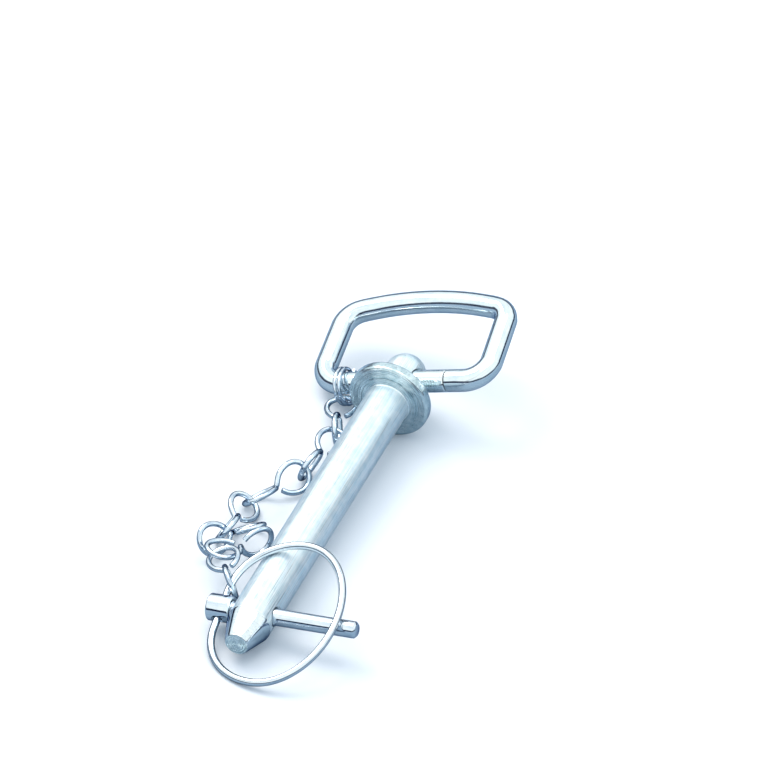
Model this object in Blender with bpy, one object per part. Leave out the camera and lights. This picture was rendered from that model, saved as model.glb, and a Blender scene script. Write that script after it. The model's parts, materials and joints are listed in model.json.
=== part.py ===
"""Hitch pin with a swivel handle, a chain and a linch pin, lying on a flat surface.

Units are metres and +Z is up. The hitch pin lies with its tip towards -Y. It rests on
the rim of its flange and on the lower edge of its tip, so its axis slopes down a
little towards the tip. The origin is under the middle of the whole object.
"""

import math

import bmesh
import bpy
from mathutils import Matrix, Vector

MM = 0.001

# Hitch pin: one turned forging
PIN_DIAMETER = 16.0 * MM
SHANK_LENGTH = 139.0 * MM  # from the flange's seat to the tip
TIP_TAPER = 11.5 * MM
TIP_DIAMETER = 9.2 * MM
TIP_EDGE = 0.6 * MM
CROSS_HOLE_TO_TIP = 17.5 * MM
FLANGE_DIAMETER = 29.6 * MM
FLANGE_THICKNESS = 4.5 * MM
FLANGE_EDGE = 1.3 * MM
SEAT_DIAMETER = 21.0 * MM
SEAT_HEIGHT = 0.5 * MM
HEAD_DIAMETER = 15.0 * MM
HANDLE_HOLE_TO_SEAT = 11.8 * MM
HEAD_LENGTH = 23.4 * MM  # from the flange's seat to the top of the dome
RUNNING_GAP = 0.35 * MM
TIP_LIFT = 1.1 * MM  # the linch pin's ring holds the tip this far off the surface

# Handle: one round bar bent into a closed D
HANDLE_WIRE = 8.0 * MM
HANDLE_WIDTH = 66.0 * MM  # all handle sizes are to the wire's centre
HANDLE_FAR_WIDTH = 64.4 * MM
HANDLE_LEG = 31.0 * MM
HANDLE_BULGE = 5.0 * MM
HANDLE_NEAR_RADIUS = 8.5 * MM
HANDLE_FAR_RADIUS = 7.5 * MM
HANDLE_SLIDE = 0.7 * MM  # along the hole, from the middle
HANDLE_JOINT = 18.0 * MM  # where the wire's two ends meet, from the handle's middle
HANDLE_JOINT_GAP = 0.3 * MM
HANDLE_ROLL = math.radians(18.0)
HANDLE_LIFT = math.radians(14.0)

# Chain: wire links with two loops, one turned a quarter from the other
LINK_WIRE = 2.0 * MM
LINK_LENGTH = 26.4 * MM  # to the wire's centre
LINK_WIDTH = 0.398 * LINK_LENGTH
LINK_CROSSING = 0.0265 * LINK_LENGTH  # from the link's middle to each loop's inner end
LINK_TAPER = 0.15
LINK_LOOP_STEPS = 14
LINK_END = 0.42
LINK_NECK = 0.5
LINK_GAP = 0.35 * MM

# Split ring that hangs the chain on the handle
SPLIT_WIRE = 1.3 * MM
SPLIT_INSIDE = HANDLE_WIRE + LINK_WIRE + 1.2 * MM
SPLIT_PITCH = 1.7 * MM
SPLIT_TURNS = 2
SPLIT_PLACE = 21.4 * MM  # along the handle, from the pin's axis
SPLIT_HANG = SPLIT_INSIDE / 2.0 - HANDLE_WIRE / 2.0 - RUNNING_GAP
HANG_SLACK = 0.25 * MM
SPLIT_SWING = math.radians(118.0)

# Linch pin and its spring ring
LINCH_DIAMETER = 6.0 * MM
CROSS_HOLE = LINCH_DIAMETER + 1.0 * MM
LINCH_SHAFT = 46.6 * MM
LINCH_CHAMFER = 0.8 * MM
LINCH_HEAD = 9.6 * MM
LINCH_HEAD_LENGTH = 8.6 * MM
LINCH_HEAD_EDGE = 0.6 * MM
LINCH_HEAD_GAP = 0.5 * MM
LINCH_ROLL = math.radians(6.0)
RING_WIRE = 2.7 * MM
RING_WIDTH = 44.6 * MM
RING_HEIGHT = 57.0 * MM
RING_STRAIGHT = 8.0 * MM
RING_END = 1.0 * MM
RING_HOLE_PLAY = 0.5 * MM
RING_STEPS = 40
# The turn that carries the ring over the shank behind the linch pin
LINCH_TURN = math.asin((PIN_DIAMETER + RING_WIRE - RUNNING_GAP) / RING_HEIGHT)

# How each link lies: its heading from -Y towards -X, how steeply it dips and the twist
# of its first loop from flat, in degrees, and its slip back past a tight contact, as a
# share of its length.
CHAIN_LAY = [
    (-16.0, -4.5, 8.5, 0.038),
    (10.0, 1.5, -18.0, 0.0645),
    (32.0, 6.0, -50.5, 0.015),
    (0.0, -5.0, -34.0, 0.0455),
    (-148.0, 8.5, 54.5, 0.257),
]
# The same for the links that hang on the linch pin's ring, close to its head
LINCH_LAY = [
    (148.5, 4.5, 72.0, 0.068),
    (213.0, 13.5, 1.5, 0.091),
]
LINCH_HANG = 10.0 * MM  # from the linch pin's axis, along the ring

SIDES = 48
NAME = "hitch_pin_lock"


def clear_scene():
    """Remove every object of the scene the file opened with."""
    for old in list(bpy.data.objects):
        bpy.data.objects.remove(old, do_unlink=True)


def new_collection(name):
    """A collection of the scene with this name."""
    found = bpy.data.collections.new(name)
    bpy.context.scene.collection.children.link(found)
    return found


def metal(name, colour, roughness, metallic=1.0):
    """A Principled BSDF material."""
    found = bpy.data.materials.new(name)
    found.use_nodes = True
    shader = found.node_tree.nodes["Principled BSDF"]
    shader.inputs["Base Color"].default_value = (*colour, 1.0)
    shader.inputs["Roughness"].default_value = roughness
    shader.inputs["Metallic"].default_value = metallic
    found.diffuse_color = (*colour, 1.0)
    return found


def place(piece, parent, material):
    """Put a piece in the object's collection, under its parent, in its material."""
    parts.objects.link(piece)
    piece.parent = parent
    piece.data.materials.append(material)
    return piece


def empty(name, parent, matrix):
    """An empty that holds pieces at a place and angle."""
    found = bpy.data.objects.new(name, None)
    parts.objects.link(found)
    found.parent = parent
    found.matrix_local = matrix
    bpy.context.view_layer.update()
    return found


def turned_mesh(name, profile, sides=SIDES):
    """A solid of revolution about Y. profile is (radius, y) from one end to the other."""
    mesh = bpy.data.meshes.new(name)
    solid = bmesh.new()
    points = [solid.verts.new((radius, along, 0.0)) for radius, along in profile]
    edges = [solid.edges.new(pair) for pair in zip(points, points[1:])]
    bmesh.ops.spin(
        solid,
        geom=points + edges,
        cent=(0.0, 0.0, 0.0),
        axis=(0.0, 1.0, 0.0),
        angle=2.0 * math.pi,
        steps=sides,
        use_merge=True,
    )
    bmesh.ops.remove_doubles(solid, verts=solid.verts, dist=1e-6)
    bmesh.ops.recalc_face_normals(solid, faces=solid.faces)
    solid.to_mesh(mesh)
    solid.free()
    return mesh


def arc(middle, radius, start, end, steps):
    """Points (x, y) on a circle from one angle to another, in degrees."""
    points = []
    for step in range(steps + 1):
        angle = math.radians(start + (end - start) * step / steps)
        points.append(
            (middle[0] + radius * math.cos(angle), middle[1] + radius * math.sin(angle))
        )
    return points


def rounded(corners, radii, steps=6):
    """A path through corners, each rounded to its radius. Radius 0 keeps a corner."""
    path = []
    for index, (corner, radius) in enumerate(zip(corners, radii)):
        if radius == 0:
            path.append(corner.copy())
            continue
        before = (corners[index - 1] - corner).normalized()
        after = (corners[(index + 1) % len(corners)] - corner).normalized()
        half = before.angle(after) / 2.0
        reach = radius / math.tan(half)
        middle = corner + (before + after).normalized() * radius / math.sin(half)
        first = corner + before * reach - middle
        last = corner + after * reach - middle
        turn = first.angle(last)
        for step in range(steps + 1):
            share = step / steps
            near = first * math.sin((1.0 - share) * turn)
            far = last * math.sin(share * turn)
            path.append(middle + (near + far) / math.sin(turn))
    return path


def wire_mesh(name, path, diameter, resolution=2):
    """A round wire along a path, as a closed mesh. The curve that makes it is removed."""
    curve = bpy.data.curves.new(name, "CURVE")
    curve.dimensions = "3D"
    curve.bevel_depth = diameter / 2.0
    curve.bevel_resolution = resolution
    curve.use_fill_caps = True
    spline = curve.splines.new("POLY")
    spline.points.add(len(path) - 1)
    for point, spot in zip(spline.points, path):
        point.co = (*spot, 1.0)
    guide = bpy.data.objects.new(name + "_guide", curve)
    bpy.context.scene.collection.objects.link(guide)
    evaluated = guide.evaluated_get(bpy.context.evaluated_depsgraph_get())
    mesh = bpy.data.meshes.new_from_object(evaluated)
    bpy.data.objects.remove(guide, do_unlink=True)
    bpy.data.curves.remove(curve)
    solid = bmesh.new()
    solid.from_mesh(mesh)
    bmesh.ops.remove_doubles(solid, verts=solid.verts, dist=1e-6)
    bmesh.ops.recalc_face_normals(solid, faces=solid.faces)
    solid.to_mesh(mesh)
    solid.free()
    mesh.name = name
    return mesh


def drill(piece, name, diameter, length, matrix):
    """Cut a round hole through a piece. matrix is the drill's place under the parent."""
    mesh = bpy.data.meshes.new(name)
    solid = bmesh.new()
    bmesh.ops.create_cone(
        solid,
        cap_ends=True,
        segments=32,
        radius1=diameter / 2.0,
        radius2=diameter / 2.0,
        depth=length,
    )
    solid.to_mesh(mesh)
    solid.free()
    cutter = bpy.data.objects.new(name, mesh)
    cutters.objects.link(cutter)
    cutter.parent = piece.parent
    cutter.matrix_local = matrix
    cutter.hide_render = True
    cutter.display_type = "WIRE"
    cut = piece.modifiers.new(name, "BOOLEAN")
    cut.operation = "DIFFERENCE"
    cut.solver = "EXACT"
    cut.object = cutter
    return cutter


def smooth(piece, angle=30.0):
    """Shade a piece smooth, with its edges sharper than this angle left sharp."""
    piece.data.shade_smooth()
    piece.data.set_sharp_from_angle(angle=math.radians(angle))


def pin_frame():
    """The matrix of the hitch pin's frame: its seat's centre, with -Y towards the tip."""
    rest_edge = SHANK_LENGTH - TIP_TAPER - FLANGE_EDGE
    drop = (FLANGE_DIAMETER - PIN_DIAMETER) / 2.0 - TIP_LIFT
    slope = math.asin(drop / math.hypot(rest_edge, drop))
    height = FLANGE_DIAMETER / 2.0 * math.cos(slope) + FLANGE_EDGE * math.sin(slope)
    return Matrix.Translation((0.0, 0.0, height)) @ Matrix.Rotation(slope, 4, "X")


def make_hitch_pin(parent):
    """The forging: shank, tapered tip, flange and domed head, with its two holes."""
    shank = PIN_DIAMETER / 2.0
    tip = TIP_DIAMETER / 2.0
    flange = FLANGE_DIAMETER / 2.0
    head = HEAD_DIAMETER / 2.0
    end = -SHANK_LENGTH
    dome = HEAD_LENGTH - head
    profile = [(0.0, end), (tip - TIP_EDGE, end), (tip, end + TIP_EDGE)]
    profile += [(shank, end + TIP_TAPER), (shank, -SEAT_HEIGHT)]
    profile += [(SEAT_DIAMETER / 2.0, -SEAT_HEIGHT), (SEAT_DIAMETER / 2.0, 0.0)]
    profile += arc((flange - FLANGE_EDGE, FLANGE_EDGE), FLANGE_EDGE, -90, 0, 4)
    back = FLANGE_THICKNESS - FLANGE_EDGE
    profile += arc((flange - FLANGE_EDGE, back), FLANGE_EDGE, 0, 90, 4)
    profile += [(head, FLANGE_THICKNESS)]
    profile += arc((0.0, dome), head, 0, 84, 7)
    profile += [(0.0, HEAD_LENGTH)]
    piece = bpy.data.objects.new("hitch_pin", turned_mesh("hitch_pin", profile))
    place(piece, parent, zinc)
    hole = Matrix.Translation((0.0, HANDLE_HOLE_TO_SEAT, 0.0))
    hole = hole @ Matrix.Rotation(-HANDLE_ROLL, 4, "Y") @ Matrix.Rotation(math.pi / 2, 4, "Y")
    bore = HANDLE_WIRE + 2.0 * RUNNING_GAP
    drill(piece, "handle_hole", bore, HEAD_DIAMETER * 2.0, hole)
    cross = Matrix.Translation((0.0, CROSS_HOLE_TO_TIP - SHANK_LENGTH, 0.0))
    cross = cross @ Matrix.Rotation(-LINCH_ROLL, 4, "Y") @ Matrix.Rotation(math.pi / 2, 4, "Y")
    drill(piece, "linch_hole", CROSS_HOLE, PIN_DIAMETER * 2.0, cross)
    smooth(piece)
    return piece


def handle_path():
    """The handle's centre line, from one end of the wire to the other, in its own plane."""
    near = HANDLE_WIDTH / 2.0
    far = HANDLE_FAR_WIDTH / 2.0
    rise = HANDLE_BULGE
    sagitta_radius = (far * far + rise * rise) / (2.0 * rise)
    corners = [
        Vector((near, 0.0, 0.0)),
        Vector((far, HANDLE_LEG, 0.0)),
        Vector((-far, HANDLE_LEG, 0.0)),
        Vector((-near, 0.0, 0.0)),
    ]
    crown = []
    for step in range(1, 8):
        along = far - 2.0 * far * step / 8
        height = math.sqrt(sagitta_radius**2 - along**2) - (sagitta_radius - rise)
        crown.append(Vector((along, HANDLE_LEG + height, 0.0)))
    outline = corners[:2] + crown + corners[2:]
    radii = [HANDLE_NEAR_RADIUS, HANDLE_FAR_RADIUS] + [0] * len(crown)
    radii += [HANDLE_FAR_RADIUS, HANDLE_NEAR_RADIUS]
    loop = rounded(outline, radii)
    start = Vector((HANDLE_JOINT + HANDLE_JOINT_GAP / 2.0, 0.0, 0.0))
    end = Vector((HANDLE_JOINT - HANDLE_JOINT_GAP / 2.0, 0.0, 0.0))
    return [start] + loop + [end]


def make_handle(pin):
    """The handle, with its origin on the axis of the head's hole."""
    at = Matrix.Translation((0.0, HANDLE_HOLE_TO_SEAT, 0.0))
    at = at @ Matrix.Rotation(-HANDLE_ROLL, 4, "Y") @ Matrix.Rotation(HANDLE_LIFT, 4, "X")
    at = at @ Matrix.Translation((HANDLE_SLIDE, 0.0, 0.0))
    hinge = empty("handle_axis", pin, at)
    piece = bpy.data.objects.new("handle", wire_mesh("handle", handle_path(), HANDLE_WIRE, 3))
    place(piece, hinge, bright)
    smooth(piece)
    return piece


def split_ring_matrix():
    """The split ring's place in the pin's frame. X is the handle's axis, Z the hang."""
    at = Matrix.Translation((0.0, HANDLE_HOLE_TO_SEAT, 0.0))
    at = at @ Matrix.Rotation(-HANDLE_ROLL, 4, "Y")
    at = at @ Matrix.Translation((-SPLIT_PLACE, 0.0, 0.0))
    return at @ Matrix.Rotation(SPLIT_SWING, 4, "X")


def make_split_ring(pin):
    """The two-turn ring round the handle, with its ends on the side away from the chain."""
    radius = (SPLIT_INSIDE + SPLIT_WIRE) / 2.0
    steps = 22
    path = []
    for step in range(SPLIT_TURNS * steps + 1):
        angle = 2.0 * math.pi * step / steps
        along = SPLIT_PITCH * (step / steps - SPLIT_TURNS / 2.0)
        spot = Vector((along, radius * math.sin(angle), -radius * math.cos(angle)))
        path.append(spot + Vector((0.0, 0.0, SPLIT_HANG)))
    hinge = empty("split_ring_axis", pin, split_ring_matrix())
    piece = bpy.data.objects.new("split_ring", wire_mesh("split_ring", path, SPLIT_WIRE, 1))
    place(piece, hinge, dark)
    smooth(piece)
    return hinge.matrix_local @ Vector((0.0, 0.0, SPLIT_HANG + radius + HANG_SLACK))


def link_path():
    """One link's centre line: a loop in X and Y, the neck, then a loop in X and Z.

    The origin is where the wire that the first loop hangs on has its centre.
    """
    reach = LINK_LENGTH / 2.0
    middle = (reach + LINK_CROSSING) / 2.0
    half = (reach - LINK_CROSSING) / 2.0
    wide = LINK_WIDTH / 2.0
    loop = []
    last = 2.0 * math.pi - LINK_NECK
    for step in range(LINK_LOOP_STEPS + 1):
        angle = LINK_END + (last - LINK_END) * step / LINK_LOOP_STEPS
        out = middle - half * math.cos(angle)
        side = wide * math.sin(angle) * (1.0 - LINK_TAPER * math.cos(angle))
        loop.append((out, side))
    path = [Vector((-out, side, 0.0)) for out, side in loop]
    path.append(Vector((0.0, -LINK_WIRE / 8.0, -LINK_WIRE / 8.0)))
    path += [Vector((out, 0.0, side)) for out, side in reversed(loop)]
    shift = Vector((reach - LINK_WIRE - LINK_GAP, 0.0, 0.0))
    return [spot + shift for spot in path]


def link_matrix(lay):
    """How a link lies about the wire that its first loop hangs on."""
    heading, dip, twist = [math.radians(angle) for angle in lay[:3]]
    turn = Matrix.Rotation(-math.pi / 2.0 - heading, 4, "Z")
    turn = turn @ Matrix.Rotation(dip, 4, "Y") @ Matrix.Rotation(twist, 4, "X")
    return turn @ Matrix.Translation((-lay[3] * LINK_LENGTH, 0.0, 0.0))


def make_links(parent, start, lays, first):
    """A run of chain links, each one hung on the far loop of the one before it."""
    reach = Vector((LINK_LENGTH - LINK_WIRE - LINK_GAP, 0.0, 0.0))
    for number, lay in enumerate(lays, start=first):
        matrix = link_matrix(lay)
        hinge = empty(f"chain_link_{number}_axis", parent, Matrix.Translation(start))
        piece = bpy.data.objects.new(f"chain_link_{number}", link_mesh)
        parts.objects.link(piece)
        piece.parent = hinge
        piece.matrix_local = matrix
        start = start + matrix @ reach


def make_linch_pin(pin):
    """The linch pin: shaft, chamfered end and a round head with the ring's hole."""
    at = Matrix.Translation((0.0, CROSS_HOLE_TO_TIP - SHANK_LENGTH, 0.0))
    at = at @ Matrix.Rotation(-LINCH_ROLL, 4, "Y") @ Matrix.Rotation(LINCH_TURN, 4, "X")
    hinge = empty("linch_axis", pin, at)
    face = -(PIN_DIAMETER / 2.0 + LINCH_HEAD_GAP)
    back = face - LINCH_HEAD_LENGTH
    end = face + LINCH_SHAFT
    head = LINCH_HEAD / 2.0
    shaft = LINCH_DIAMETER / 2.0
    edge = LINCH_HEAD_EDGE
    profile = [(0.0, back), (head - edge, back), (head, back + edge)]
    profile += [(head, face - edge), (head - edge, face), (shaft, face)]
    profile += [(shaft, end - LINCH_CHAMFER), (shaft - LINCH_CHAMFER, end), (0.0, end)]
    mesh = turned_mesh("linch_pin", profile, 32)
    mesh.transform(Matrix.Rotation(-math.pi / 2.0, 4, "Z"))
    piece = bpy.data.objects.new("linch_pin", mesh)
    place(piece, hinge, zinc)
    middle = face - LINCH_HEAD_LENGTH / 2.0
    hole = Matrix.Translation((middle, 0.0, 0.0)) @ Matrix.Rotation(math.pi / 2.0, 4, "X")
    cutter = drill(piece, "ring_hole", RING_WIRE + RING_HOLE_PLAY, LINCH_HEAD * 2.0, hole)
    cutter.parent = hinge
    smooth(piece)
    return hinge, middle


def ring_path():
    """The spring ring's centre line, from one end in the head round to the other."""
    wide = RING_WIDTH / 2.0
    tall = RING_HEIGHT / 2.0
    quarter = RING_STEPS // 4
    near = [Vector((0.0, RING_END, 0.0))]
    for step in range(quarter + 1):
        angle = math.pi / 2.0 * step / quarter
        out = wide * (1.0 - math.cos(angle))
        up = RING_STRAIGHT + (tall - RING_STRAIGHT) * math.sin(angle)
        near.append(Vector((out, up, 0.0)))
    far = []
    for step in range(1, quarter):
        angle = math.pi / 2.0 * step / quarter
        far.append(Vector((wide * (1.0 + math.sin(angle)), tall * math.cos(angle), 0.0)))
    half = near + far
    mirrored = [Vector((spot.x, -spot.y, 0.0)) for spot in reversed(half)]
    return half + [Vector((RING_WIDTH, 0.0, 0.0))] + mirrored


def make_linch_ring(linch, middle):
    """The spring ring, with its origin on the hole's axis. Returns where the chain hangs."""
    rest_on = LINCH_DIAMETER / 2.0 + RING_WIRE / 2.0 + RUNNING_GAP
    lift = math.asin(rest_on / RING_WIDTH)
    at = Matrix.Translation((middle, 0.0, 0.0)) @ Matrix.Rotation(-lift, 4, "Y")
    hinge = empty("linch_ring_axis", linch, at)
    piece = bpy.data.objects.new("linch_ring", wire_mesh("linch_ring", ring_path(), RING_WIRE))
    place(piece, hinge, bright)
    smooth(piece)
    rise = (LINCH_HANG - RING_STRAIGHT) / (RING_HEIGHT / 2.0 - RING_STRAIGHT)
    out = RING_WIDTH / 2.0 * (1.0 - math.sqrt(1.0 - rise * rise))
    return hinge.matrix_local @ Vector((out, LINCH_HANG, 0.0))


def centre_on_origin(rig):
    """Move the rig so that the whole object stands centred over the origin."""
    bpy.context.view_layer.update()
    graph = bpy.context.evaluated_depsgraph_get()
    spots = []
    for piece in parts.objects:
        if piece.type != "MESH":
            continue
        mesh = piece.evaluated_get(graph).data
        spots += [piece.matrix_world @ vertex.co for vertex in mesh.vertices]
    low = Vector([min(spot[axis] for spot in spots) for axis in range(3)])
    high = Vector([max(spot[axis] for spot in spots) for axis in range(3)])
    rig.location = (-(low.x + high.x) / 2.0, -(low.y + high.y) / 2.0, -low.z)
    bpy.context.view_layer.update()


clear_scene()
parts = new_collection(NAME)
cutters = new_collection("cutters")
zinc = metal("zinc_plate", (0.72, 0.79, 0.82), 0.32)
bright = metal("bright_zinc_wire", (0.80, 0.84, 0.87), 0.18)
dark = metal("zinc_chain_wire", (0.62, 0.70, 0.78), 0.24)

link_mesh = wire_mesh("chain_link", link_path(), LINK_WIRE)
link_mesh.materials.append(dark)
link_mesh.shade_smooth()

rig = empty("table_frame", None, Matrix.Identity(4))
pin = empty("pin_frame", rig, pin_frame())
make_hitch_pin(pin)
make_handle(pin)
ring_hang = pin.matrix_local @ make_split_ring(pin)
make_links(rig, ring_hang, CHAIN_LAY, 1)
linch, head_middle = make_linch_pin(pin)
linch_hang = pin.matrix_local @ linch.matrix_local @ make_linch_ring(linch, head_middle)
make_links(rig, linch_hang, LINCH_LAY, len(CHAIN_LAY) + 1)
centre_on_origin(rig)
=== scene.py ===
"""The looks of a hitch pin with a swivel handle, a chain and a linch pin.

Every shown piece is built here in metres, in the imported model's frame, stands for one
CAD node and rides on that node's body.
"""

import json
import math

import bmesh
import bpy
from mathutils import Matrix, Vector


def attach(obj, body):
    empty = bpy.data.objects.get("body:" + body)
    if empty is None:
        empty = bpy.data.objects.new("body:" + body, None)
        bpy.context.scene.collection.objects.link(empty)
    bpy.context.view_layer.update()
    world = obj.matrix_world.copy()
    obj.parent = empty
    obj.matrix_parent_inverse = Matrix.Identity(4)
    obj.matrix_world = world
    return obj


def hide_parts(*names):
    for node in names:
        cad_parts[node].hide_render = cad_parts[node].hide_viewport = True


MM = 0.001  # every length below is in mm, until a mesh or a place is finished
GRAIN = "grain"  # the point attribute that the metal's streaks follow

# Hitch pin
SHANK_RADIUS = 8.0
SHANK_LENGTH = 139.0
TIP_TAPER = 11.5
TIP_RADIUS = 4.6
FLANGE_RADIUS = 14.8
FLANGE_THICKNESS = 4.5
FLANGE_EDGE = 1.3
SEAT_RADIUS = 10.5
SEAT_HEIGHT = 0.5
HEAD_RADIUS = 7.5
HEAD_LENGTH = 23.4
HANDLE_HOLE = 11.8
HANDLE_BORE_RADIUS = 4.35
CROSS_HOLE = -121.5  # from the seat's centre, along the pin
CROSS_HOLE_RADIUS = 3.5
SHANK_MOUNT = 60.0  # from the seat's centre, towards the tip

# Handle
HANDLE_RADIUS = 4.0
HANDLE_HALF = 33.0
HANDLE_FAR_HALF = 32.2
HANDLE_LEG = 31.0
HANDLE_BULGE = 5.0
HANDLE_NEAR_BEND = 8.5
HANDLE_FAR_BEND = 7.5
HANDLE_SLIDE = 0.7
HANDLE_JOINT = 18.0
HANDLE_JOINT_GAP = 0.3
HANDLE_ROLL = math.radians(18.0)
HANDLE_LIFT = math.radians(14.0)

# Split ring
SPLIT_WIRE_RADIUS = 0.65
SPLIT_RADIUS = 6.25
SPLIT_PITCH = 1.7
SPLIT_STEPS = 44
SPLIT_PLACE = 21.4
SPLIT_HANG = 1.25  # how far the ring's centre hangs below the handle's
SPLIT_SWING = math.radians(118.0)
HANG_SLACK = 0.25

# Chain links
LINK_WIRE_RADIUS = 1.0
LINK_SHOWN_RADIUS = 0.97  # a little under the wire, so that bent links stay apart
LINK_LENGTH = 26.4
LINK_WIDTH = 0.398 * LINK_LENGTH
LINK_CROSSING = 0.0265 * LINK_LENGTH
LINK_TAPER = 0.15
LINK_END = 0.42
LINK_NECK = 0.5
LINK_GAP = 0.35
# How each link lies: its heading, dip and twist in degrees, and its slip in link lengths
CHAIN_LAY = [
    (-16.0, -4.5, 8.5, 0.038),
    (10.0, 1.5, -18.0, 0.0645),
    (32.0, 6.0, -50.5, 0.015),
    (0.0, -5.0, -34.0, 0.0455),
    (-148.0, 8.5, 54.5, 0.257),
]
LINCH_LAY = [
    (148.5, 4.5, 72.0, 0.068),
    (213.0, 13.5, 1.5, 0.091),
]

# Linch pin and its ring
LINCH_RADIUS = 3.0
LINCH_SHAFT = 46.6
LINCH_HEAD_RADIUS = 4.8
LINCH_HEAD_LENGTH = 8.6
LINCH_HEAD_GAP = 0.5
LINCH_ROLL = math.radians(6.0)
RING_WIRE_RADIUS = 1.35
RING_WIDTH = 44.6
RING_HEIGHT = 57.0
RING_STRAIGHT = 8.0
RING_END = 1.0
RING_HOLE_RADIUS = 1.6
LINCH_HANG = 10.0  # from the linch pin's axis, along the ring
GAP = 0.35
LINCH_TURN = math.asin((2.0 * (SHANK_RADIUS + RING_WIRE_RADIUS) - GAP) / RING_HEIGHT)

# Camera: lengths in mm, apart from its distance in metres
AZIMUTH = math.radians(22.06)
ELEVATION = math.radians(37.5)
VIEW_WIDTH = 772.0 / 2.875
AIM = (-1.8 / 2.875, 16.2 / 2.875)  # right of and above the seat's centre
CAMERA_DISTANCE = 9.0

# Studio, as the metal sees it: (height above the horizon, colour)
SKY = [
    (0.0, (0.05, 0.07, 0.16)),
    (0.03, (0.006, 0.01, 0.04)),
    (0.22, (0.004, 0.007, 0.03)),
    (0.25, (0.66, 0.80, 0.90)),
    (0.36, (1.0, 1.06, 1.08)),
    (1.0, (0.92, 1.02, 1.08)),
]
SKY_DRIFT = 0.17
FILL_COLOUR = (0.72, 0.86, 1.0, 1.0)
SEEN_COLOUR = (0.975, 0.975, 1.0, 1.0)


# Mesh tools


def lay_grain(mesh, values):
    """Keep the metal's own coordinates on a mesh: X along it, Y and Z across it, in mm."""
    layer = mesh.attributes.new(GRAIN, "FLOAT_VECTOR", "POINT")
    layer.data.foreach_set("vector", [value * MM for value in values])


def object_from(name, mesh, matrix, body, node, materials):
    """Make a shown piece from a mesh in mm: place it, ride it and let it stand for a node."""
    mesh.transform(matrix @ Matrix.Scale(MM, 4))
    piece = bpy.data.objects.new(name, mesh)
    bpy.context.scene.collection.objects.link(piece)
    for material in materials:
        mesh.materials.append(material)
    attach(piece, body)
    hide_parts(node)


def turned(name, profile, sides):
    """A solid of revolution about Y from (radius, y) points."""
    mesh = bpy.data.meshes.new(name)
    rings = []
    verts = []
    faces = []
    for radius, along in profile:
        if radius < 1e-6:
            rings.append([len(verts)])
            verts.append((0.0, along, 0.0))
            continue
        first = len(verts)
        for side in range(sides):
            angle = 2.0 * math.pi * side / sides
            verts.append((radius * math.cos(angle), along, radius * math.sin(angle)))
        rings.append(list(range(first, first + sides)))
    for low, high in zip(rings, rings[1:]):
        for side in range(sides):
            after = (side + 1) % sides
            if len(low) == 1:
                faces.append((low[0], high[side], high[after]))
            elif len(high) == 1:
                faces.append((low[side], high[0], low[after]))
            else:
                faces.append((low[side], high[side], high[after], low[after]))
    mesh.from_pydata(verts, [], faces)
    mesh.validate()
    fix_normals(mesh)
    return mesh


def fix_normals(mesh):
    """Point every face of a closed mesh outwards."""
    solid = bmesh.new()
    solid.from_mesh(mesh)
    bmesh.ops.recalc_face_normals(solid, faces=solid.faces)
    solid.to_mesh(mesh)
    solid.free()


def arc(middle, radius, start, end, steps):
    """Points on a circle from one angle to another, in degrees."""
    points = []
    for step in range(steps + 1):
        angle = math.radians(start + (end - start) * step / steps)
        points.append((middle[0] + radius * math.cos(angle), middle[1] + radius * math.sin(angle)))
    return points


def even(path, step):
    """A smooth path through the same points, with about this distance between points."""
    ends = [path[0] * 2.0 - path[1]] + list(path) + [path[-1] * 2.0 - path[-2]]
    dense = []
    for before, start, finish, after in zip(ends, ends[1:], ends[2:], ends[3:]):
        for part in range(12):
            t = part / 12.0
            a = start * 2.0
            b = (finish - before) * t
            c = (before * 2.0 - start * 5.0 + finish * 4.0 - after) * t * t
            d = (start * 3.0 - before - finish * 3.0 + after) * t * t * t
            dense.append((a + b + c + d) * 0.5)
    dense.append(path[-1].copy())
    length = sum((b - a).length for a, b in zip(dense, dense[1:]))
    count = max(2, round(length / step))
    gap = length / count
    out = [dense[0]]
    walked = 0.0
    target = gap
    for a, b in zip(dense, dense[1:]):
        piece = (b - a).length
        while piece > 0.0 and walked + piece >= target - 1e-9 and len(out) < count:
            out.append(a.lerp(b, (target - walked) / piece))
            target += gap
        walked += piece
    out.append(dense[-1])
    return out


def wire(name, path, radius, sides, edge=0.25):
    """A round wire along a path, with its two ends cut square and their edges broken."""
    tangents = []
    for index in range(len(path)):
        before = path[max(0, index - 1)]
        after = path[min(len(path) - 1, index + 1)]
        tangents.append((after - before).normalized())
    normal = tangents[0].orthogonal().normalized()
    verts = []
    faces = []
    rings = []
    grain = []
    walked = 0.0

    def ring(middle, tangent, size):
        side = tangent.cross(normal).normalized()
        first = len(verts)
        for number in range(sides):
            angle = 2.0 * math.pi * number / sides
            across = (size * math.cos(angle), size * math.sin(angle))
            verts.append(middle + normal * across[0] + side * across[1])
            grain.extend((walked, *across))
        rings.append(first)

    last = len(path) - 1
    ring(path[0], tangents[0], radius - edge)
    for index, (middle, tangent) in enumerate(zip(path, tangents)):
        normal = (normal - tangent * normal.dot(tangent)).normalized()
        walked += (middle - path[max(0, index - 1)]).length
        if index == 0:
            middle = middle + tangent * edge
        if index == last:
            middle = middle - tangent * edge
        ring(middle, tangent, radius)
    ring(path[-1], tangents[-1], radius - edge)
    for low, high in zip(rings, rings[1:]):
        for number in range(sides):
            after = (number + 1) % sides
            faces.append((low + number, low + after, high + after, high + number))
    faces.append(tuple(range(rings[0] + sides - 1, rings[0] - 1, -1)))
    faces.append(tuple(range(rings[-1], rings[-1] + sides)))
    mesh = bpy.data.meshes.new(name)
    mesh.from_pydata([tuple(v) for v in verts], [], faces)
    fix_normals(mesh)
    lay_grain(mesh, grain)
    return mesh


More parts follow.
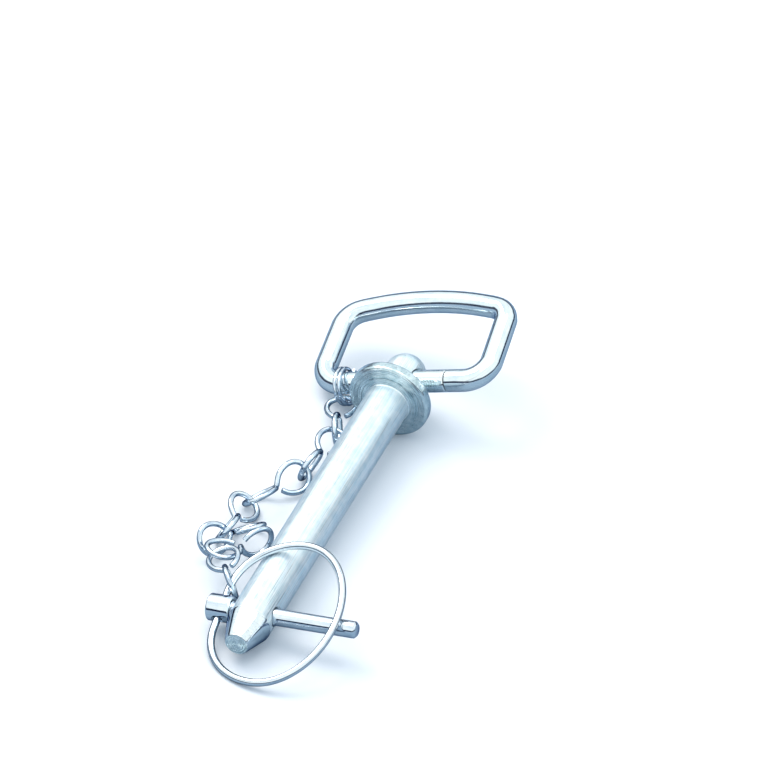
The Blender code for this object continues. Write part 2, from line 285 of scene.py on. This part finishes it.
def rounded(corners, radii, steps):
    """A path through corners, each rounded to its radius. Radius 0 keeps a corner."""
    path = []
    for index, (corner, radius) in enumerate(zip(corners, radii)):
        if radius == 0:
            path.append(corner.copy())
            continue
        before = (corners[index - 1] - corner).normalized()
        after = (corners[(index + 1) % len(corners)] - corner).normalized()
        half = before.angle(after) / 2.0
        reach = radius / math.tan(half)
        middle = corner + (before + after).normalized() * radius / math.sin(half)
        first = corner + before * reach - middle
        last = corner + after * reach - middle
        turn = first.angle(last)
        for step in range(steps + 1):
            share = step / steps
            near = first * math.sin((1.0 - share) * turn)
            far = last * math.sin(share * turn)
            path.append(middle + (near + far) / math.sin(turn))
    return path


def shade(mesh, angle=32.0):
    """Smooth shading, with the edges sharper than this angle left sharp."""
    mesh.shade_smooth()
    mesh.set_sharp_from_angle(angle=math.radians(angle))


def cut(mesh, tools, name):
    """The mesh with the tool meshes taken out of it."""
    piece = bpy.data.objects.new(name, mesh)
    bpy.context.scene.collection.objects.link(piece)
    helpers = []
    for tool in tools:
        helper = bpy.data.objects.new(name + "_tool", tool)
        bpy.context.scene.collection.objects.link(helper)
        helpers.append(helper)
        modifier = piece.modifiers.new("cut", "BOOLEAN")
        modifier.operation = "DIFFERENCE"
        modifier.solver = "EXACT"
        modifier.object = helper
    graph = bpy.context.evaluated_depsgraph_get()
    made = bpy.data.meshes.new_from_object(piece.evaluated_get(graph))
    for old in [piece] + helpers:
        bpy.data.objects.remove(old, do_unlink=True)
    return made


# Materials


def node(tree, kind, inputs=None, **values):
    """A shader node with some of its properties and inputs set."""
    made = tree.nodes.new(kind)
    for key, value in values.items():
        setattr(made, key, value)
    for key, value in (inputs or {}).items():
        made.inputs[key].default_value = value
    return made


def zinc(name, pale, deep, rough, streaks, bump, rim, metal, wear=0.85, rings=0.0):
    """Zinc plating: drawn streaks, a soft mottle, spangle and darker scratches.

    pale and deep are the two colours it varies between, and rough the two roughnesses.
    streaks is the grain's scale along and across the metal, bump the relief in metres, rim
    the tint at grazing angles, wear how light a scratch stays, and rings the turned
    grooves' turns, in radians a metre.
    """
    material = bpy.data.materials.new(name)
    material.use_nodes = True
    tree = material.node_tree
    shader = tree.nodes["Principled BSDF"]
    link = tree.links.new
    coords = node(tree, "ShaderNodeAttribute", attribute_name=GRAIN)
    mapping = node(tree, "ShaderNodeMapping", {"Scale": streaks})
    link(coords.outputs["Vector"], mapping.inputs["Vector"])
    streak = node(
        tree, "ShaderNodeTexNoise", {"Scale": 1.0, "Detail": 5.0, "Roughness": 0.62}
    )
    link(mapping.outputs["Vector"], streak.inputs["Vector"])
    mottle = node(
        tree, "ShaderNodeTexNoise", {"Scale": 260.0, "Detail": 4.0, "Roughness": 0.55}
    )
    link(coords.outputs["Vector"], mottle.inputs["Vector"])
    spangle = node(tree, "ShaderNodeTexVoronoi", {"Scale": 900.0})
    link(coords.outputs["Vector"], spangle.inputs["Vector"])
    blend = node(tree, "ShaderNodeMath", {1: 0.6}, operation="MULTIPLY")
    link(streak.outputs["Fac"], blend.inputs[0])
    total = node(tree, "ShaderNodeMath", {1: 0.4}, operation="MULTIPLY_ADD")
    link(mottle.outputs["Fac"], total.inputs[0])
    link(blend.outputs[0], total.inputs[2])
    scratch_map = node(tree, "ShaderNodeMapping", {"Scale": [2.6 * scale for scale in streaks]})
    link(coords.outputs["Vector"], scratch_map.inputs["Vector"])
    scratch = node(tree, "ShaderNodeTexNoise", {"Scale": 1.0, "Detail": 2.0, "Roughness": 0.5})
    link(scratch_map.outputs["Vector"], scratch.inputs["Vector"])
    marks = node(
        tree,
        "ShaderNodeMapRange",
        {"From Min": 0.30, "From Max": 0.42, "To Min": wear, "To Max": 1.0},
    )
    link(scratch.outputs["Fac"], marks.inputs["Value"])
    ramp = node(tree, "ShaderNodeValToRGB")
    ramp.color_ramp.elements[0].position = 0.36
    ramp.color_ramp.elements[0].color = (*deep, 1.0)
    ramp.color_ramp.elements[1].position = 0.6
    ramp.color_ramp.elements[1].color = (*pale, 1.0)
    link(total.outputs[0], ramp.inputs["Fac"])
    worn = node(tree, "ShaderNodeVectorMath", operation="SCALE")
    link(ramp.outputs["Color"], worn.inputs[0])
    link(marks.outputs["Result"], worn.inputs["Scale"])
    link(worn.outputs["Vector"], shader.inputs["Base Color"])
    spread = node(
        tree,
        "ShaderNodeMapRange",
        {"From Min": 0.3, "From Max": 0.7, "To Min": rough[0], "To Max": rough[1]},
    )
    link(total.outputs[0], spread.inputs["Value"])
    link(spread.outputs["Result"], shader.inputs["Roughness"])
    height = node(tree, "ShaderNodeMath", {1: 0.15}, operation="MULTIPLY_ADD")
    link(spangle.outputs["Distance"], height.inputs[0])
    link(total.outputs[0], height.inputs[2])
    relief = height
    if rings:
        parts = node(tree, "ShaderNodeSeparateXYZ")
        link(coords.outputs["Vector"], parts.inputs["Vector"])
        flat = node(tree, "ShaderNodeCombineXYZ")
        link(parts.outputs["Y"], flat.inputs["X"])
        link(parts.outputs["Z"], flat.inputs["Y"])
        radius = node(tree, "ShaderNodeVectorMath", operation="LENGTH")
        link(flat.outputs["Vector"], radius.inputs[0])
        wave = node(tree, "ShaderNodeMath", {1: rings}, operation="MULTIPLY")
        link(radius.outputs["Value"], wave.inputs[0])
        grooves = node(tree, "ShaderNodeMath", operation="SINE")
        link(wave.outputs[0], grooves.inputs[0])
        relief = node(tree, "ShaderNodeMath", {1: 0.5}, operation="MULTIPLY_ADD")
        link(grooves.outputs[0], relief.inputs[0])
        link(height.outputs[0], relief.inputs[2])
    surface = node(tree, "ShaderNodeBump", {"Strength": 1.0, "Distance": bump})
    link(relief.outputs[0], surface.inputs["Height"])
    link(surface.outputs["Normal"], shader.inputs["Normal"])
    shader.inputs["Metallic"].default_value = metal
    shader.inputs["Specular Tint"].default_value = (*rim, 1.0)
    return material


# Places


def shifted(x, y, z):
    """A translation given in mm."""
    return Matrix.Translation((x * MM, y * MM, z * MM))


def pin_frame(mounts):
    """The hitch pin's frame: its seat's centre, with -Y towards the tip."""
    along = -Vector(mounts["flange_seat"]["axis"]).normalized()
    centre = Vector(mounts["shank"]["pos_m"]) + along * SHANK_MOUNT * MM
    up = Vector(mounts["flange_seat"]["pos_m"]) - centre
    up = (up - along * up.dot(along)).normalized()
    matrix = Matrix((along.cross(up), along, up)).transposed().to_4x4()
    matrix.translation = centre
    return matrix


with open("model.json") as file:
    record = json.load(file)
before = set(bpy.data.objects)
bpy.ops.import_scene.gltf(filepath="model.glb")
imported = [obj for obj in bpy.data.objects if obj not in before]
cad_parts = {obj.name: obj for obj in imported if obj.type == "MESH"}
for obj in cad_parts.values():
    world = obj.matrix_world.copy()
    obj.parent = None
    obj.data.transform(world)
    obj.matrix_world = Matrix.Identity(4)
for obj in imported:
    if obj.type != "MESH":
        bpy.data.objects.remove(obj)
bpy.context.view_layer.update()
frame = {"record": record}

PIN = pin_frame({mount["name"]: mount for mount in frame["record"]["mounts"]})
BAR = PIN @ shifted(0.0, HANDLE_HOLE, 0.0) @ Matrix.Rotation(-HANDLE_ROLL, 4, "Y")
LINCH = PIN @ shifted(0.0, CROSS_HOLE, 0.0) @ Matrix.Rotation(-LINCH_ROLL, 4, "Y")
LINCH = LINCH @ Matrix.Rotation(LINCH_TURN, 4, "X")
HEAD_FACE = -(SHANK_RADIUS + LINCH_HEAD_GAP)
HEAD_MIDDLE = HEAD_FACE - LINCH_HEAD_LENGTH / 2.0

plate = zinc(
    "zinc_plate_drawn", (0.95, 1.0, 1.0), (0.66, 0.82, 0.87), (0.30, 0.46),
    (18.0, 1500.0, 1500.0), 0.00014, (0.3, 0.4, 0.55), 0.74, wear=0.62,
)
turned_face = zinc(
    "zinc_plate_turned", (0.82, 0.92, 0.93), (0.44, 0.59, 0.63), (0.12, 0.22),
    (400.0, 400.0, 400.0), 0.0001, (0.4, 0.5, 0.65), 0.85, rings=6500.0,
)
cone = zinc(
    "zinc_plate_cone", (0.92, 0.97, 0.98), (0.78, 0.87, 0.90), (0.05, 0.12),
    (900.0, 300.0, 300.0), 0.00001, (0.15, 0.2, 0.35), 1.0,
)
bar = zinc(
    "zinc_bar", (0.97, 1.0, 1.0), (0.76, 0.88, 0.92), (0.03, 0.11),
    (60.0, 700.0, 700.0), 0.00002, (0.3, 0.4, 0.55), 0.95,
)
ring_steel = zinc(
    "zinc_spring_wire", (0.93, 0.97, 0.99), (0.64, 0.73, 0.80), (0.03, 0.08),
    (30.0, 1400.0, 1400.0), 0.00001, (0.02, 0.03, 0.10), 1.0,
)
link_steel = zinc(
    "zinc_link_wire", (0.90, 0.96, 1.0), (0.44, 0.57, 0.72), (0.04, 0.12),
    (120.0, 900.0, 900.0), 0.00002, (0.02, 0.04, 0.12), 1.0,
)
shaft_steel = zinc(
    "zinc_linch", (0.95, 0.98, 1.0), (0.72, 0.82, 0.89), (0.04, 0.12),
    (40.0, 1100.0, 1100.0), 0.00001, (0.1, 0.14, 0.3), 1.0,
)


# Hitch pin


def hitch_pin_profile():
    """The forging's outline from the tip to the top of the dome."""
    end = -SHANK_LENGTH
    taper = end + TIP_TAPER
    points = [(0.0, end), (TIP_RADIUS - 0.8, end)]
    points += arc((TIP_RADIUS - 0.8, end + 0.6), 0.6, -90, 0, 8)[1:]
    points += [(TIP_RADIUS + (SHANK_RADIUS - TIP_RADIUS) * t, end + 0.9 + (TIP_TAPER - 1.3) * t)
               for t in (0.02, 0.35, 0.7, 0.96)]
    points += [(SHANK_RADIUS - 0.03, taper), (SHANK_RADIUS, taper + 0.5)]
    points += [(SHANK_RADIUS, y) for y in (-126.0, -125.0, -124.0, -123.0, -122.0, -121.0)]
    points += [(SHANK_RADIUS, y) for y in (-120.0, -119.0, -118.0, -117.0, -115.0, -110.0)]
    points += [(SHANK_RADIUS, -100.0 + 10.0 * step) for step in range(10)]
    points += [(SHANK_RADIUS, -1.4)]
    points += arc((SHANK_RADIUS + 0.9, -1.4), 0.9, 180, 90, 8)[1:]
    points += [(SEAT_RADIUS - 0.15, -SEAT_HEIGHT), (SEAT_RADIUS, -SEAT_HEIGHT + 0.12)]
    points += [(SEAT_RADIUS, -0.02), (SEAT_RADIUS + 0.05, 0.0)]
    for groove in (11.3, 12.1, 12.9):
        points += [(groove - 0.12, 0.0), (groove, 0.09), (groove + 0.12, 0.0)]
    inner = FLANGE_RADIUS - FLANGE_EDGE
    points += arc((inner, FLANGE_EDGE), FLANGE_EDGE, -90, 0, 8)
    points += arc((inner, FLANGE_THICKNESS - FLANGE_EDGE), FLANGE_EDGE, 0, 90, 8)
    points += [(11.0, FLANGE_THICKNESS), (HEAD_RADIUS + 1.2, FLANGE_THICKNESS)]
    points += arc((HEAD_RADIUS + 1.2, FLANGE_THICKNESS + 1.2), 1.2, 270, 180, 8)[1:]
    points += [(HEAD_RADIUS, y) for y in (7.0, 8.5, 10.0, 11.5, 13.0, 14.5)]
    dome = HEAD_LENGTH - HEAD_RADIUS
    points += arc((0.0, dome), HEAD_RADIUS, 0, 87, 16)
    points.append((0.0, HEAD_LENGTH))
    return points


def hole_tool(radius, reach, mouth, lip, turn, place):
    """A cutter for a through hole along X, with its two mouths opened by a lip."""
    profile = [(0.0, -reach), (radius + lip * 2.0, -reach), (radius + lip * 2.0, -mouth - lip)]
    profile += [(radius, -mouth + lip), (radius, mouth - lip)]
    profile += [(radius + lip * 2.0, mouth + lip), (radius + lip * 2.0, reach), (0.0, reach)]
    tool = turned("hole_tool", profile, 40)
    tool.transform(Matrix.Rotation(-math.pi / 2.0, 4, "Z"))
    tool.transform(Matrix.Translation((0.0, place, 0.0)) @ Matrix.Rotation(turn, 4, "Y"))
    return tool


def make_hitch_pin():
    """The forging, with its two holes. The flange and the tip have their own finish."""
    body = turned("hitch_pin_shape", hitch_pin_profile(), 128)
    tools = [
        hole_tool(HANDLE_BORE_RADIUS, 20.0, 6.6, 0.3, -HANDLE_ROLL, HANDLE_HOLE),
        hole_tool(CROSS_HOLE_RADIUS, 20.0, 7.6, 0.35, -LINCH_ROLL, CROSS_HOLE),
    ]
    body = cut(body, tools, "hitch_pin_shape")
    shade(body, 12.0)
    lay_grain(body, [n for v in body.vertices for n in (v.co.y, v.co.z, v.co.x)])
    for face in body.polygons:
        middle = face.center
        radius = math.hypot(middle.x, middle.z)
        if -1.2 < middle.y < FLANGE_THICKNESS + 1.0 and radius > HEAD_RADIUS + 0.8:
            face.material_index = 1
        elif middle.y < -SHANK_LENGTH + TIP_TAPER:
            face.material_index = 1 if middle.y < -SHANK_LENGTH + 0.05 else 2
    finish = [plate, turned_face, cone]
    object_from("pin_forging", body, PIN, "hitch_pin", "hitch_pin", finish)


make_hitch_pin()

# Handle


def handle_path():
    """The handle's centre line in its own plane, from one end of the bar to the other."""
    near = HANDLE_HALF
    far = HANDLE_FAR_HALF
    rise = HANDLE_BULGE
    sweep = (far * far + rise * rise) / (2.0 * rise)
    corners = [Vector((near, 0.0, 0.0)), Vector((far, HANDLE_LEG, 0.0))]
    crown = []
    for step in range(1, 8):
        along = far - 2.0 * far * step / 8
        height = math.sqrt(sweep**2 - along**2) - (sweep - rise)
        crown.append(Vector((along, HANDLE_LEG + height, 0.0)))
    corners += crown + [Vector((-far, HANDLE_LEG, 0.0)), Vector((-near, 0.0, 0.0))]
    radii = [HANDLE_NEAR_BEND, HANDLE_FAR_BEND] + [0] * len(crown)
    radii += [HANDLE_FAR_BEND, HANDLE_NEAR_BEND]
    loop = rounded(corners, radii, 8)
    start = Vector((HANDLE_JOINT + HANDLE_JOINT_GAP / 2.0, 0.0, 0.0))
    end = Vector((HANDLE_JOINT - HANDLE_JOINT_GAP / 2.0, 0.0, 0.0))
    return [start, Vector((22.0, 0.0, 0.0))] + loop + [
        Vector((x, 0.0, 0.0)) for x in (-18.0, -9.0, 0.0, 9.0)
    ] + [end]


def make_handle():
    """The handle's bar, lifted about the head's hole and slid along it."""
    place = BAR @ Matrix.Rotation(HANDLE_LIFT, 4, "X") @ shifted(HANDLE_SLIDE, 0.0, 0.0)
    mesh = wire("handle_shape", even(handle_path(), 1.1), HANDLE_RADIUS, 40, edge=0.35)
    shade(mesh, 40.0)
    object_from("handle_bar", mesh, place, "handle", "handle", [bar])


make_handle()

# Split ring


def make_split_ring():
    """The two-turn ring on the handle's bar. Returns where the first link hangs."""
    place = BAR @ shifted(-SPLIT_PLACE, 0.0, 0.0) @ Matrix.Rotation(SPLIT_SWING, 4, "X")
    path = []
    for step in range(2 * SPLIT_STEPS + 1):
        angle = 2.0 * math.pi * step / SPLIT_STEPS
        along = SPLIT_PITCH * (step / SPLIT_STEPS - 1.0)
        height = SPLIT_HANG - SPLIT_RADIUS * math.cos(angle)
        path.append(Vector((along, SPLIT_RADIUS * math.sin(angle), height)))
    mesh = wire("split_ring_shape", path, SPLIT_WIRE_RADIUS, 16, edge=0.12)
    shade(mesh)
    finish = [link_steel]
    object_from(
        "split_ring_coil", mesh, place, "split_ring", "split_ring", finish
    )
    return place @ Vector((0.0, 0.0, (SPLIT_HANG + SPLIT_RADIUS + HANG_SLACK) * MM))


ring_hang = make_split_ring()

# Chain


def link_path():
    """One link's centre line: a loop in X and Y, the neck, then a loop in X and Z."""
    reach = LINK_LENGTH / 2.0
    middle = (reach + LINK_CROSSING) / 2.0
    half = (reach - LINK_CROSSING) / 2.0
    loop = []
    last = 2.0 * math.pi - LINK_NECK
    for step in range(15):
        angle = LINK_END + (last - LINK_END) * step / 14
        out = middle - half * math.cos(angle)
        side = LINK_WIDTH / 2.0 * math.sin(angle) * (1.0 - LINK_TAPER * math.cos(angle))
        loop.append((out, side))
    points = [Vector((-out, side, 0.0)) for out, side in loop]
    points.append(Vector((0.0, -0.25, -0.25)))
    points += [Vector((out, 0.0, side)) for out, side in reversed(loop)]
    shift = Vector((reach - 2.0 * LINK_WIRE_RADIUS - LINK_GAP, 0.0, 0.0))
    return [spot + shift for spot in points]


def link_matrix(start, lay):
    """The place of a link whose first loop hangs on a wire at start."""
    heading, dip, twist = [math.radians(angle) for angle in lay[:3]]
    turn = Matrix.Rotation(-math.pi / 2.0 - heading, 4, "Z")
    turn = turn @ Matrix.Rotation(dip, 4, "Y") @ Matrix.Rotation(twist, 4, "X")
    return Matrix.Translation(start) @ turn @ shifted(-lay[3] * LINK_LENGTH, 0.0, 0.0)


def make_links(start, lays, first):
    """A run of chain links, each hung on the far loop of the one before it."""
    reach = Vector(((LINK_LENGTH - 2.0 * LINK_WIRE_RADIUS - LINK_GAP) * MM, 0.0, 0.0))
    for number, lay in enumerate(lays, start=first):
        matrix = link_matrix(start, lay)
        path = even(link_path(), 0.45)
        mesh = wire(f"link_{number}_shape", path, LINK_SHOWN_RADIUS, 18, edge=0.15)
        shade(mesh)
        name = f"chain_link_{number}"
        object_from(f"link_{number}", mesh, matrix, name, name, [link_steel])
        start = matrix @ reach


make_links(ring_hang, CHAIN_LAY, 1)

# Linch pin


def make_linch_pin():
    """The linch pin, along X: its head, the ring's hole through it, and the shaft."""
    back = HEAD_FACE - LINCH_HEAD_LENGTH
    end = HEAD_FACE + LINCH_SHAFT
    corner = LINCH_HEAD_RADIUS - 0.6
    profile = [(0.0, back), (LINCH_HEAD_RADIUS - 0.7, back)]
    profile += arc((corner, back + 0.6), 0.6, -90, 0, 5)
    profile += [(LINCH_HEAD_RADIUS, HEAD_MIDDLE)]
    profile += arc((corner, HEAD_FACE - 0.6), 0.6, 0, 90, 5)
    profile += [(LINCH_RADIUS + 0.3, HEAD_FACE), (LINCH_RADIUS, HEAD_FACE + 0.3)]
    profile += [(LINCH_RADIUS, HEAD_FACE + 6.0 * step) for step in range(1, 8)]
    profile += [(LINCH_RADIUS, end - 0.9), (LINCH_RADIUS - 0.12, end - 0.75)]
    profile += [(LINCH_RADIUS - 0.75, end - 0.05), (LINCH_RADIUS - 0.9, end), (0.0, end)]
    shaft = turned("linch_pin_shape", profile, 64)
    shaft.transform(Matrix.Rotation(-math.pi / 2.0, 4, "Z"))
    tool = hole_tool(RING_HOLE_RADIUS, 9.0, 4.4, 0.25, 0.0, 0.0)
    across = Matrix.Rotation(math.pi / 2.0, 4, "Z")
    tool.transform(Matrix.Translation((HEAD_MIDDLE, 0.0, 0.0)) @ across)
    shaft = cut(shaft, [tool], "linch_pin_shape")
    shade(shaft, 30.0)
    lay_grain(shaft, [n for v in shaft.vertices for n in v.co])
    finish = [shaft_steel]
    object_from(
        "linch_pin_steel", shaft, LINCH, "linch_pin", "linch_pin", finish
    )


make_linch_pin()

# Linch ring


def ring_path():
    """The ring's centre line, from one end in the head round to the other."""
    wide = RING_WIDTH / 2.0
    tall = RING_HEIGHT / 2.0
    near = [Vector((0.0, RING_END, 0.0)), Vector((0.0, RING_STRAIGHT / 2.0, 0.0))]
    for step in range(11):
        angle = math.pi / 2.0 * step / 10
        rise = RING_STRAIGHT + (tall - RING_STRAIGHT) * math.sin(angle)
        near.append(Vector((wide * (1.0 - math.cos(angle)), rise, 0.0)))
    far = []
    for step in range(1, 10):
        angle = math.pi / 2.0 * step / 10
        far.append(Vector((wide * (1.0 + math.sin(angle)), tall * math.cos(angle), 0.0)))
    half = near + far
    mirrored = [Vector((spot.x, -spot.y, 0.0)) for spot in reversed(half)]
    return half + [Vector((RING_WIDTH, 0.0, 0.0))] + mirrored


def make_linch_ring():
    """The ring in the linch pin's head. Returns where the chain's other run hangs on it."""
    lift = math.asin((LINCH_RADIUS + RING_WIRE_RADIUS + GAP) / RING_WIDTH)
    place = LINCH @ shifted(HEAD_MIDDLE, 0.0, 0.0) @ Matrix.Rotation(-lift, 4, "Y")
    mesh = wire("linch_ring_shape", even(ring_path(), 0.8), RING_WIRE_RADIUS, 24, edge=0.2)
    shade(mesh)
    finish = [ring_steel]
    object_from(
        "linch_ring_wire", mesh, place, "linch_ring", "linch_ring", finish
    )
    rise = (LINCH_HANG - RING_STRAIGHT) / (RING_HEIGHT / 2.0 - RING_STRAIGHT)
    out = RING_WIDTH / 2.0 * (1.0 - math.sqrt(1.0 - rise * rise))
    return place @ Vector((out * MM, LINCH_HANG * MM, 0.0))


make_links(make_linch_ring(), LINCH_LAY, len(CHAIN_LAY) + 1)

# Floor, light and camera


def area(name, place, aim, size, power, colour):
    """A square soft light that points at aim."""
    lamp = bpy.data.lights.new(name, "AREA")
    lamp.shape = "RECTANGLE"
    lamp.size = size[0]
    lamp.size_y = size[1]
    lamp.energy = power
    lamp.color = colour
    holder = bpy.data.objects.new(name, lamp)
    holder.location = place
    holder.rotation_euler = (Vector(aim) - Vector(place)).to_track_quat("-Z", "Y").to_euler()
    bpy.context.scene.collection.objects.link(holder)


def make_floor():
    """A pale floor. It reflects darker in the metal, as a studio's grey cards do."""
    ground = bpy.data.meshes.new("floor")
    ground.from_pydata([(-6, -6, 0), (6, -6, 0), (6, 6, 0), (-6, 6, 0)], [], [(0, 1, 2, 3)])
    floor = bpy.data.objects.new("floor", ground)
    bpy.context.scene.collection.objects.link(floor)
    matte = bpy.data.materials.new("floor_white")
    matte.use_nodes = True
    tree = matte.node_tree
    shader = tree.nodes["Principled BSDF"]
    rays = node(tree, "ShaderNodeLightPath")
    card = node(
        tree,
        "ShaderNodeMixRGB",
        {"Color1": (0.88, 0.875, 0.88, 1.0), "Color2": (0.24, 0.31, 0.38, 1.0)},
    )
    tree.links.new(rays.outputs["Is Glossy Ray"], card.inputs["Fac"])
    tree.links.new(card.outputs["Color"], shader.inputs["Base Color"])
    shader.inputs["Roughness"].default_value = 0.75
    shader.inputs["Specular IOR Level"].default_value = 0.2
    ground.materials.append(matte)


def make_world():
    """Soft light all round. The metal sees a pale sky over a dark, uneven horizon."""
    world = bpy.data.worlds.new("studio")
    bpy.context.scene.world = world
    world.use_nodes = True
    tree = world.node_tree
    tree.nodes.clear()
    link = tree.links.new
    coords = node(tree, "ShaderNodeTexCoord")
    parts = node(tree, "ShaderNodeSeparateXYZ")
    link(coords.outputs["Generated"], parts.inputs["Vector"])
    ramp = node(tree, "ShaderNodeValToRGB")
    elements = ramp.color_ramp.elements
    elements[0].position = SKY[0][0]
    elements[0].color = (*SKY[0][1], 1.0)
    elements[1].position = SKY[-1][0]
    elements[1].color = (*SKY[-1][1], 1.0)
    for position, colour in SKY[1:-1]:
        elements.new(position).color = (*colour, 1.0)
    clouds = node(tree, "ShaderNodeTexNoise", {"Scale": 1.7, "Detail": 2.0})
    link(coords.outputs["Generated"], clouds.inputs["Vector"])
    uneven = node(tree, "ShaderNodeMath", {1: 2.0 * SKY_DRIFT}, operation="MULTIPLY_ADD")
    link(clouds.outputs["Fac"], uneven.inputs[0])
    lowered = node(tree, "ShaderNodeMath", {1: SKY_DRIFT}, operation="SUBTRACT")
    link(parts.outputs["Z"], lowered.inputs[0])
    link(lowered.outputs[0], uneven.inputs[2])
    link(uneven.outputs[0], ramp.inputs["Fac"])
    rays = node(tree, "ShaderNodeLightPath")
    glossy = node(tree, "ShaderNodeBackground", {"Strength": 1.0})
    link(ramp.outputs["Color"], glossy.inputs["Color"])
    fill = node(tree, "ShaderNodeBackground", {"Color": FILL_COLOUR, "Strength": 1.12})
    seen = node(tree, "ShaderNodeBackground", {"Color": SEEN_COLOUR, "Strength": 1.0})
    mix_gloss = node(tree, "ShaderNodeMixShader")
    link(rays.outputs["Is Glossy Ray"], mix_gloss.inputs["Fac"])
    link(fill.outputs["Background"], mix_gloss.inputs[1])
    link(glossy.outputs["Background"], mix_gloss.inputs[2])
    mix_seen = node(tree, "ShaderNodeMixShader")
    link(rays.outputs["Is Camera Ray"], mix_seen.inputs["Fac"])
    link(mix_gloss.outputs["Shader"], mix_seen.inputs[1])
    link(seen.outputs["Background"], mix_seen.inputs[2])
    output = node(tree, "ShaderNodeOutputWorld")
    link(mix_seen.outputs["Shader"], output.inputs["Surface"])


def make_camera():
    """A long lens that looks at the seat's centre from the front, left and above."""
    right = Vector((math.cos(AZIMUTH), math.sin(AZIMUTH), 0.0))
    up = Vector((
        -math.sin(AZIMUTH) * math.sin(ELEVATION),
        math.cos(AZIMUTH) * math.sin(ELEVATION),
        math.cos(ELEVATION),
    ))
    towards = right.cross(up)
    target = PIN.translation + (right * AIM[0] + up * AIM[1]) * MM
    data = bpy.data.cameras.new("camera")
    data.sensor_width = 36.0
    data.lens = data.sensor_width * CAMERA_DISTANCE / (VIEW_WIDTH * MM)
    data.clip_end = 50.0
    camera = bpy.data.objects.new("camera", data)
    bpy.context.scene.collection.objects.link(camera)
    axes = Matrix((right, up, towards)).transposed().to_4x4()
    axes.translation = target + towards * CAMERA_DISTANCE
    camera.matrix_world = axes
    bpy.context.scene.camera = camera
    bpy.context.scene.view_settings.view_transform = "Standard"


make_floor()
make_world()
area("key", (-0.55, 0.25, 0.85), (0.0, 0.0, 0.0), (0.6, 0.6), 4.6, (1.0, 0.96, 0.91))
area("top", (0.1, 0.1, 1.1), (0.0, 0.0, 0.0), (0.9, 0.9), 3.0, (1.0, 0.97, 0.94))
make_camera()
